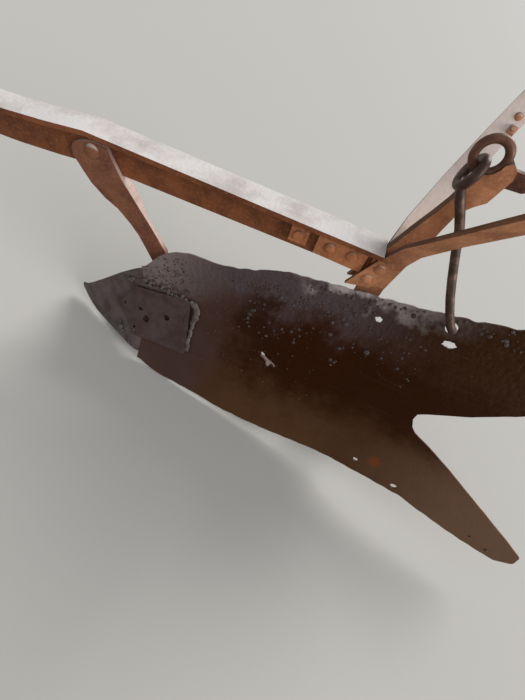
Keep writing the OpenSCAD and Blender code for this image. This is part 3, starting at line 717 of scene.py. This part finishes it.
# %% [markdown]
# ## A rim that rust has eaten
# Rust has eaten the rims, the upper one most. Nine seeded waves of different lengths add up to
# an uneven edge, which draws back by up to 2.5 mm and never grows past the true rim.

# %% Waves for the rim
rng = np.random.default_rng(7)
# columns: height and length in mm, and where the wave starts
RIM_WAVES = [(rng.uniform(0.25, 0.9), rng.uniform(9, 60), rng.uniform(0, 6.28))
             for _ in range(9)]
FULL_TURN = 6.283


def eaten(s, side):
    """How far rust has eaten the rim, in mm, at s on that side."""
    rough = sum(a * math.sin(FULL_TURN * s / length + phase + side)
                for a, length, phase in RIM_WAVES)
    bitten = 1.1 if side > 0 and s > 330 else 0.4
    return max(0.0, 0.4 + bitten * rough)


print("upper rim eaten by up to", round(max(eaten(s, 1) for s in range(330, 870)), 1), "mm")

# %% [markdown]
# ## Building the sheet
# A plate is two grids of points, the outer face and the inner face, joined round the edge. The
# sheet's outer face has the dents, and its inner face lies 5 mm under it. Each point's place
# along and across is kept as its UV.

# %% Build the sheet
SHEET_ROWS, SHEET_COLUMNS = 250, 116


def plate_between(top, bottom):
    """A closed plate from two equal grids of points, in mm."""
    rows, columns = len(top), len(top[0])
    bm = bmesh.new()
    grids = [[[bm.verts.new(Vector(p * MM)) for p in row] for row in grid]
             for grid in (top, bottom)]
    upper, lower = grids
    for i in range(rows - 1):
        for j in range(columns - 1):
            for grid in grids:
                bm.faces.new((grid[i][j], grid[i + 1][j], grid[i + 1][j + 1], grid[i][j + 1]))
        for j in (0, columns - 1):
            bm.faces.new((upper[i][j], upper[i + 1][j], lower[i + 1][j], lower[i][j]))
    for j in range(columns - 1):
        for i in (0, rows - 1):
            bm.faces.new((upper[i][j], upper[i][j + 1], lower[i][j + 1], lower[i][j]))
    bmesh.ops.recalc_face_normals(bm, faces=bm.faces)
    return bm


def build_moldboard():
    sides = [math.copysign(abs(x) ** 0.9, x) for x in np.linspace(-1, 1, SHEET_COLUMNS + 1)]
    grids = []
    flat = []
    for lift in (0.0, -SHEET_THICK):
        grids.append([])
        for i in range(SHEET_ROWS + 1):
            row = []
            for side in sides:
                end = rear_end(side)
                if abs(side) < 0.97:
                    end -= 0.7 * eaten(side * 90, 1)
                s = SHEET_START + (end - SHEET_START) * i / SHEET_ROWS
                width = station(s, 4 if side > 0 else 5) - eaten(s, math.copysign(1, side))
                dent = hammered(s, side * width) if lift == 0 else 0.0
                row.append(sheet_point(s, side, lift + dent, width))
                flat.append((s * MM, side * width * MM))
            grids[-1].append(row)
    bm = plate_between(*grids)
    bm.verts.index_update()
    uv = bm.loops.layers.uv.new("along_across")
    for face in bm.faces:
        for loop in face.loops:
            loop[uv].uv = flat[loop.vert.index]
    return object_from("moldboard_sheet", bm, sheet_rust_and_painted_light)


moldboard = build_moldboard()
print("sheet:", len(moldboard.data.polygons), "faces")

# %% [markdown]
# ## Holes in the sheet
# The sheet has a round hole for the hook, a torn slit, and a handful of small holes, some
# drilled and some rusted through. Each is a prism that a Boolean takes away. The prism stands
# square to the sheet. A hole's outline is an ellipse pulled about by seeded noise.

# %% Cut the holes
# columns: station, across in mm, half length, half width, raggedness
HOLES = [
    (658, 141, 8.2, 8.2, 0.03), (664, 118, 8.5, 5.2, 0.25), (566, 120, 5.4, 4.2, 0.2),
    (609, -126, 4.6, 3.8, 0.15), (679, -142, 5.4, 4.6, 0.1),
    (810, -171, 1.8, 1.6, 0.2), (618, -114, 1.9, 1.6, 0.3),
]
# the slit's torn outline: station, across in mm
SLIT = [(402, -1), (404, 2), (408, 1), (412, -4), (420, -8), (430, -12), (434, -17),
        (431, -19), (425, -14), (422, -17), (420, -23), (415, -19), (414, -13), (409, -9),
        (404, -7)]
SLIT_MIDDLE = (418, -9)
HOLE_POINTS, HOLE_STEP = 28, 0.2244  # points round a hole, and the angle between two
BELOW_SHEET, ABOVE_SHEET = 14, 9     # how far a cutter reaches, mm


def sheet_frame(s, across):
    """The point on the sheet, then the directions to the rear, across and out of the sheet."""
    here = on_sheet(s, across)
    ahead = on_sheet(s + 2, across) - here
    beside = on_sheet(s, across + 2) - here
    ahead /= np.linalg.norm(ahead)
    normal = np.cross(ahead, beside)
    normal /= np.linalg.norm(normal)
    if normal @ OUTWARD < 0:
        normal = -normal
    return here, ahead, np.cross(normal, ahead), normal


def ragged_outline(seed, s, across, half_length, half_width, ragged):
    middle, ahead, beside, _ = sheet_frame(s, across)
    wobble = 1 + ragged * np.random.default_rng(seed).uniform(-1, 1, HOLE_POINTS)
    wobble = (wobble + np.roll(wobble, 1)) / 2
    return [middle + (half_length * math.cos(HOLE_STEP * k) * ahead
                      + half_width * math.sin(HOLE_STEP * k) * beside) * wobble[k]
            for k in range(HOLE_POINTS)]


def prism_cutter(outline, normal, below, above):
    """A prism on an outline, from below the sheet to above it."""
    bm = bmesh.new()
    rings = [[bm.verts.new(Vector((point + depth * normal) * MM)) for point in outline]
             for depth in (-below, above)]
    bridge(bm, rings)
    bm.faces.new(rings[0])
    bm.faces.new(rings[1])
    bmesh.ops.recalc_face_normals(bm, faces=bm.faces)
    return object_from("hole_cutter", bm, sheet_rust_and_painted_light)


def hole_cutters(holes, first_seed, below, above):
    return [prism_cutter(ragged_outline(first_seed + n, *hole), sheet_frame(*hole[:2])[3],
                         below, above) for n, hole in enumerate(holes)]


def cut_out(piece, cutters):
    for cutter in cutters:
        cut = piece.modifiers.new("hole", "BOOLEAN")
        cut.operation = "DIFFERENCE"
        cut.object = cutter
        cut.solver = "EXACT"
    finish_mesh(piece, 40)
    for cutter in cutters:
        bpy.data.objects.remove(cutter)


cutters = hole_cutters(HOLES, 40, BELOW_SHEET, ABOVE_SHEET)   # 40 is the first seed
cutters.append(prism_cutter([on_sheet(*point) for point in SLIT], sheet_frame(*SLIT_MIDDLE)[3],
                            BELOW_SHEET, ABOVE_SHEET))
cut_out(moldboard, cutters)
settle(moldboard, sheet_rust_and_painted_light, "moldboard")
print("sheet with", len(cutters), "holes:", len(moldboard.data.polygons), "faces")

# %% [markdown]
# ## Share and welded plate
# The share follows the same surface towards its point. It is as thick as the sheet, and thinner
# at its point and along its cutting edges. The plate that somebody welded over the joint is
# five-sided, pointed to the front, and lies on top of both. Both are fine grids that a little
# noise dents.

# %% Share and plate
CROWDING = 1.15                      # over 1, so the share's rows lie closer at its point
EDGE_WIDTH, EDGE_DROP = 9, 1.6       # the share's ground edge, mm
# the plate's point, how far its corners lie behind that, its rear edge, its width in front and
# what it gains to the rear, the lift of its two faces, and its dents' depth and width, mm
PLATE_POINT, PLATE_SHOULDER, PLATE_REAR, PLATE_WIDTH, PLATE_GAIN = 106, 46, 261, 96, 8
PLATE_TOP, PLATE_UNDER, PLATE_DENT, DENT_WIDTH = 4.9, 0.7, 0.45, 9
BELOW_FACE, ABOVE_PLATE = 0.9, 12    # how far its cutters reach from the sheet's face, mm
# columns as in HOLES
PLATE_HOLES = [(124, 5, 2.6, 2.4, 0.2), (160, 5, 5.5, 3.6, 0.25), (174, -11, 7.6, 6.8, 0.18),
               (217, 5, 6.8, 5.2, 0.12), (151, -35, 3.2, 2.6, 0.3)]


def two_grids(points_at, rows, columns):
    """An outer and an inner grid of points, with the places along and across from 0 to 1."""
    pairs = [[points_at(i / rows, j / columns) for j in range(columns + 1)]
             for i in range(rows + 1)]
    return [[[pair[k] for pair in row] for row in pairs] for k in (0, 1)]


def share_points(a, b):
    s = SHARE_LENGTH * a ** CROWDING
    side = 2 * b - 1
    width = station(s, 4 if side > 0 else 5)
    rim = min(1.0, (1 - abs(side)) * width / EDGE_WIDTH)
    lift = 1.2 * hammered(s, side * width) - EDGE_DROP * (1 - rim) ** 2
    back = 3 if s < 12 else 0
    return sheet_point(s, side, lift), sheet_point(s + back, side, -min(SHEET_THICK, 3 + s / 8))


def patch_points(a, b):
    front = PLATE_POINT + PLATE_SHOULDER * abs(2 * b - 1)
    s = front + a * (PLATE_REAR - front)
    across = (b - 0.5) * (PLATE_WIDTH + PLATE_GAIN * a)
    dent = noise.noise(Vector((s / DENT_WIDTH, across / DENT_WIDTH, 5.0)))
    return on_sheet(s, across, PLATE_TOP + PLATE_DENT * dent), on_sheet(s, across, PLATE_UNDER)


share_grids = two_grids(share_points, 86, 56)
share = object_from("ground_share", plate_between(*share_grids), share_steel)
finish_mesh(share, 40)
settle(share, share_steel, "share")

patch_grids = two_grids(patch_points, 70, 46)
patch = object_from("welded_patch", plate_between(*patch_grids), patch_steel)
cut_out(patch, hole_cutters(PLATE_HOLES, 100, BELOW_FACE, ABOVE_PLATE))
settle(patch, patch_steel, "patch_plate")
print("share", len(share.data.polygons), "patch", len(patch.data.polygons), "faces")

# %% [markdown]
# ## Weld beads
# The plate is held by thick hand-laid welds along its rear and upper edges, and lumps of
# spatter lie round its front and its upper edge. Each bead is a row of squashed balls of uneven
# size, put through a voxel remesh so that they flow into one skin, as molten metal does.

# %% Lumps of weld metal
# columns: station, across in mm, lift over the sheet, radius
BEAD_PATHS = [
    [(170, 58, 2.5, 2.6), (200, 56.5, 2.5, 3.0), (230, 52.5, 2.5, 3.4), (262, 49.5, 3.0, 4.2)],
    [(262, 49.5, 3.0, 4.6), (274, 42, 2.5, 6.6), (275, 28, 2.5, 5.8), (270, 12, 3.0, 4.4),
     (267, -12, 3.0, 3.8), (265, -32, 3.0, 4.6), (263, -48, 2.5, 4.0)],
]
SPATTER = [(137, 56, 1.5, 6.0), (145, 60, 1.0, 4.5), (170, 65, 1.0, 5.0), (112, -37, 1.0, 5.2),
           (116, -47, 0.8, 5.6), (181, 63, 1.0, 3.4), (204, 62, 1.0, 3.2), (122, -52, 0.5, 3.4),
           (216, 58, 1.5, 3.6), (244, 56, 1.0, 3.8), (150, -41, 4.5, 2.4)]
BALL_SPACING, SQUASH, VOXEL = 2.0, 0.62, 0.9


def bead_balls(path, seed):
    """Balls along a path, each a little off it and of its own size."""
    wander = np.random.default_rng(seed)
    balls = []
    for a, b in zip(path, path[1:]):
        length = math.dist(a[:2], b[:2])
        for k in range(max(1, round(length / BALL_SPACING))):
            f = k * BALL_SPACING / length
            s, across, lift, radius = (p + (q - p) * f for p, q in zip(a, b))
            balls.append((s + wander.uniform(-2.1, 2.1), across + wander.uniform(-2.0, 2.0), lift,
                          radius * wander.uniform(0.35, 1.1)))
    return balls


def melted(name, balls, material):
    bm = bmesh.new()
    for s, across, lift, radius in balls:
        _, ahead, beside, normal = sheet_frame(s, across)
        squashed = Matrix([list(ahead * radius), list(beside * radius),
                           list(normal * radius * SQUASH)]).transposed().to_4x4()
        place = Matrix.Translation(Vector(on_sheet(s, across, lift) * MM))
        bmesh.ops.create_icosphere(bm, subdivisions=3, radius=MM, matrix=place @ squashed)
    obj = object_from(name, bm, material)
    remesh = obj.modifiers.new("flow", "REMESH")
    remesh.mode = "VOXEL"
    remesh.voxel_size = VOXEL * MM
    smooth = obj.modifiers.new("cool", "SMOOTH")
    smooth.iterations = 1
    finish_mesh(obj, 80)
    dress(obj, material)
    return obj


balls = [ball for n, path in enumerate(BEAD_PATHS) for ball in bead_balls(path, 3 + n)]
weld = melted("weld_beads", balls + SPATTER, weld_steel_and_highlight)
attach(weld, "turning_body")
print("weld:", len(balls), "balls and", len(SPATTER), "lumps,", len(weld.data.polygons), "faces")

# %% [markdown]
# ## Rust blisters
# Rust has lifted in blisters, mostly on the upper half of the sheet and most along its rim.
# The places come from a seeded draw over zones, and two dozen larger ones are listed. A
# Geometry Nodes group puts a squashed ball on each place, square to the sheet, and roughens it.

# %% Where the blisters lie
# columns: first and last station, first and last distance across, how many, smallest and
# largest radius, the lengths in mm
BLISTER_ZONES = [
    (172, 250, 58, 122, 230, 0.7, 2.2), (176, 340, 40, 100, 90, 0.7, 1.9),
    (330, 640, 30, 128, 190, 0.7, 2.6), (330, 560, 100, 148, 120, 0.8, 2.8),
    (340, 890, 138, 200, 330, 1.0, 3.6), (300, 500, -60, 30, 60, 0.6, 1.7),
    (180, 260, 60, 70, 46, 1.2, 3.0), (260, 300, -50, 60, 30, 0.8, 1.8),
]
BIG_BLISTERS = [
    (413, 116, 3.2), (416, 107, 3.6), (522, 139, 3.8), (549, 140, 4.2), (506, 73, 3.0),
    (526, 56, 3.2), (566, 65, 5.6), (518, 32, 3.8), (524, 30, 2.8), (521, 24, 3.0),
    (523, 97, 3.6), (504, 93, 3.4), (532, 117, 3.2), (448, 102, 2.6), (466, 124, 2.8),
    (453, 39, 2.8), (445, 56, 2.4), (840, -183, 3.0), (372, 70, 3.0), (369, 62, 3.4),
    (367, 54, 3.2), (368, 46, 2.8), (372, 40, 2.6), (377, 72, 2.6),
]
MOSTLY_SMALL, CLEAR_OF_HOLES = 2.4, 11   # a power that favours small ones, and mm from a hole
PLATE_ZONE = (102, 282, 58)          # its first and last station, and how far across it reaches


def blister_spots():
    draw = np.random.default_rng(11)
    plate_start, plate_end, plate_reach = PLATE_ZONE
    spots = []
    for s0, s1, a0, a1, count, small, large in BLISTER_ZONES:
        for _ in range(count):
            s, across = draw.uniform(s0, s1), draw.uniform(a0, a1)
            radius = small + (large - small) * draw.random() ** MOSTLY_SMALL
            side = across / station(s, 4 if across > 0 else 5)
            on_plate = plate_start < s < plate_end and abs(across) < plate_reach
            if side < 0.99 and s < rear_end(min(side, 1)) - radius - 2 and not on_plate:
                spots.append((s, across, radius))
    return [spot for spot in spots + BIG_BLISTERS
            if all(math.dist(spot[:2], hole[:2]) > CLEAR_OF_HOLES for hole in HOLES)]


def blister_points(spots):
    """A mesh of bare points, each with the direction out of the sheet and its ball's size."""
    mesh = bpy.data.meshes.new("blister_places")
    draw = np.random.default_rng(12)
    frames = [sheet_frame(s, across) for s, across, _ in spots]
    mesh.from_pydata([Vector((f[0] - 0.5 * f[3]) * MM) for f in frames], [], [])
    out = mesh.attributes.new("out", "FLOAT_VECTOR", "POINT")
    out.data.foreach_set("vector", np.array([f[3] for f in frames]).ravel())
    stretch = draw.uniform((0.75, 0.75, 0.28), (1.3, 1.2, 0.62), (len(spots), 3))
    radii = np.array([radius for *_, radius in spots])[:, None]
    size = mesh.attributes.new("size", "FLOAT_VECTOR", "POINT")
    size.data.foreach_set("vector", (stretch * radii * MM).ravel())
    return mesh


spots = blister_spots()
blisters = new_object("rust_blisters", blister_points(spots), blister_rust_and_highlight)
print("blisters:", len(spots), "places")

# %% The node group that sets them
def blister_group(material):
    group = bpy.data.node_groups.new("set_blisters", "GeometryNodeTree")
    group.interface.new_socket("Geometry", in_out="INPUT", socket_type="NodeSocketGeometry")
    crumble = group.interface.new_socket("Crumble", in_out="INPUT", socket_type="NodeSocketFloat")
    group.interface.new_socket("Geometry", in_out="OUTPUT", socket_type="NodeSocketGeometry")
    start = add(group, "NodeGroupInput")
    out, size = [add(group, "GeometryNodeInputNamedAttribute", {"Name": name},
                     data_type="FLOAT_VECTOR") for name in ("out", "size")]
    ball = add(group, "GeometryNodeMeshIcoSphere", {"Radius": 1.0, "Subdivisions": 2})
    stand = add(group, "FunctionNodeAlignRotationToVector", {"Vector": out.outputs["Attribute"]},
                axis="Z")
    placed = add(group, "GeometryNodeInstanceOnPoints", {
        "Points": start.outputs["Geometry"], "Instance": ball.outputs["Mesh"],
        "Rotation": stand.outputs["Rotation"], "Scale": size.outputs["Attribute"]})
    real = add(group, "GeometryNodeRealizeInstances", {"Geometry": placed.outputs["Instances"]})
    rough = add(group, "ShaderNodeTexNoise", {"Scale": per_mm(2.2), "Detail": 1.0})
    centred = add(group, "ShaderNodeVectorMath", {0: rough.outputs["Color"], 1: (0.5, 0.5, 0.5)},
                  operation="SUBTRACT")
    push = add(group, "ShaderNodeVectorMath", {
        0: centred.outputs["Vector"], "Scale": start.outputs["Crumble"]}, operation="SCALE")
    moved = add(group, "GeometryNodeSetPosition", {
        "Geometry": real.outputs["Geometry"], "Offset": push.outputs["Vector"]})
    smooth = add(group, "GeometryNodeSetShadeSmooth", {"Geometry": moved.outputs["Geometry"]})
    tinted = add(group, "GeometryNodeSetMaterial", {
        "Geometry": smooth.outputs["Geometry"], "Material": material})
    add(group, "NodeGroupOutput", {"Geometry": tinted.outputs["Geometry"]})
    return group, crumble.identifier


CRUMBLE_MM = 1.6
group, crumble_socket = blister_group(blister_rust_and_highlight)
setting = blisters.modifiers.new("blisters", "NODES")
setting.node_group = group
setting[crumble_socket] = CRUMBLE_MM * MM
use_up(blisters)
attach(blisters, "turning_body")
print("blisters:", len(blisters.data.polygons), "faces")

# %% [markdown]
# ## Floor and light
# The floor and the light stay plain, so that the plough is what one looks at. A pale matt
# plane takes the shadow. Two wide lights act as even daylight, the same at every place. The
# stronger one comes from behind the handles on the far side and rakes over the sheet, as in
# the photo. The other comes in lower on the near side, and the world adds an even grey.

# %% A pale floor and a soft studio
def pale_floor(name, colour):
    material, tree = new_finish(name)
    shader = add(tree, "ShaderNodeBsdfPrincipled", {
        "Base Color": linear(colour), "Roughness": 0.9})
    add(tree, "ShaderNodeOutputMaterial", {"Surface": shader.outputs["BSDF"]})
    return material


FLOOR_SIZE, FLOOR_DROP = 60.0, 0.0005
floor_mesh = bpy.data.meshes.new("studio_floor")
half = FLOOR_SIZE / 2
floor_mesh.from_pydata([(-half, -half, 0), (half, -half, 0), (half, half, 0), (-half, half, 0)],
                       [], [(0, 1, 2, 3)])
floor = new_object("studio_floor", floor_mesh, pale_floor("pale_matt_floor", "#aca9a3"))
floor.location.z = -FLOOR_DROP


def wide_light(name, travels, softness, strength):
    """A light that comes from the same side at every place, as daylight does."""
    lamp = bpy.data.lights.new(name, "SUN")
    lamp.energy = strength
    lamp.angle = softness
    obj = bpy.data.objects.new(name, lamp)
    bpy.context.scene.collection.objects.link(obj)
    obj.rotation_euler = Vector(travels).to_track_quat("-Z", "Y").to_euler()
    return obj


lights = [wide_light("raking_light", (0.5, 0.69, -0.55), 0.5, 3.0),
          wide_light("side_light", (2.3, -0.95, -0.95), 0.6, 2.3)]

world = bpy.data.worlds.new("even_room")
bpy.context.scene.world = world
world.use_nodes = True
world.node_tree.nodes.clear()
room = add(world.node_tree, "ShaderNodeBackground", {
    "Color": linear("#e6e9ee"), "Strength": 0.62})
add(world.node_tree, "ShaderNodeOutputWorld", {"Surface": room.outputs["Background"]})
print("staged:", floor.name, "and", len(lights), "lights")
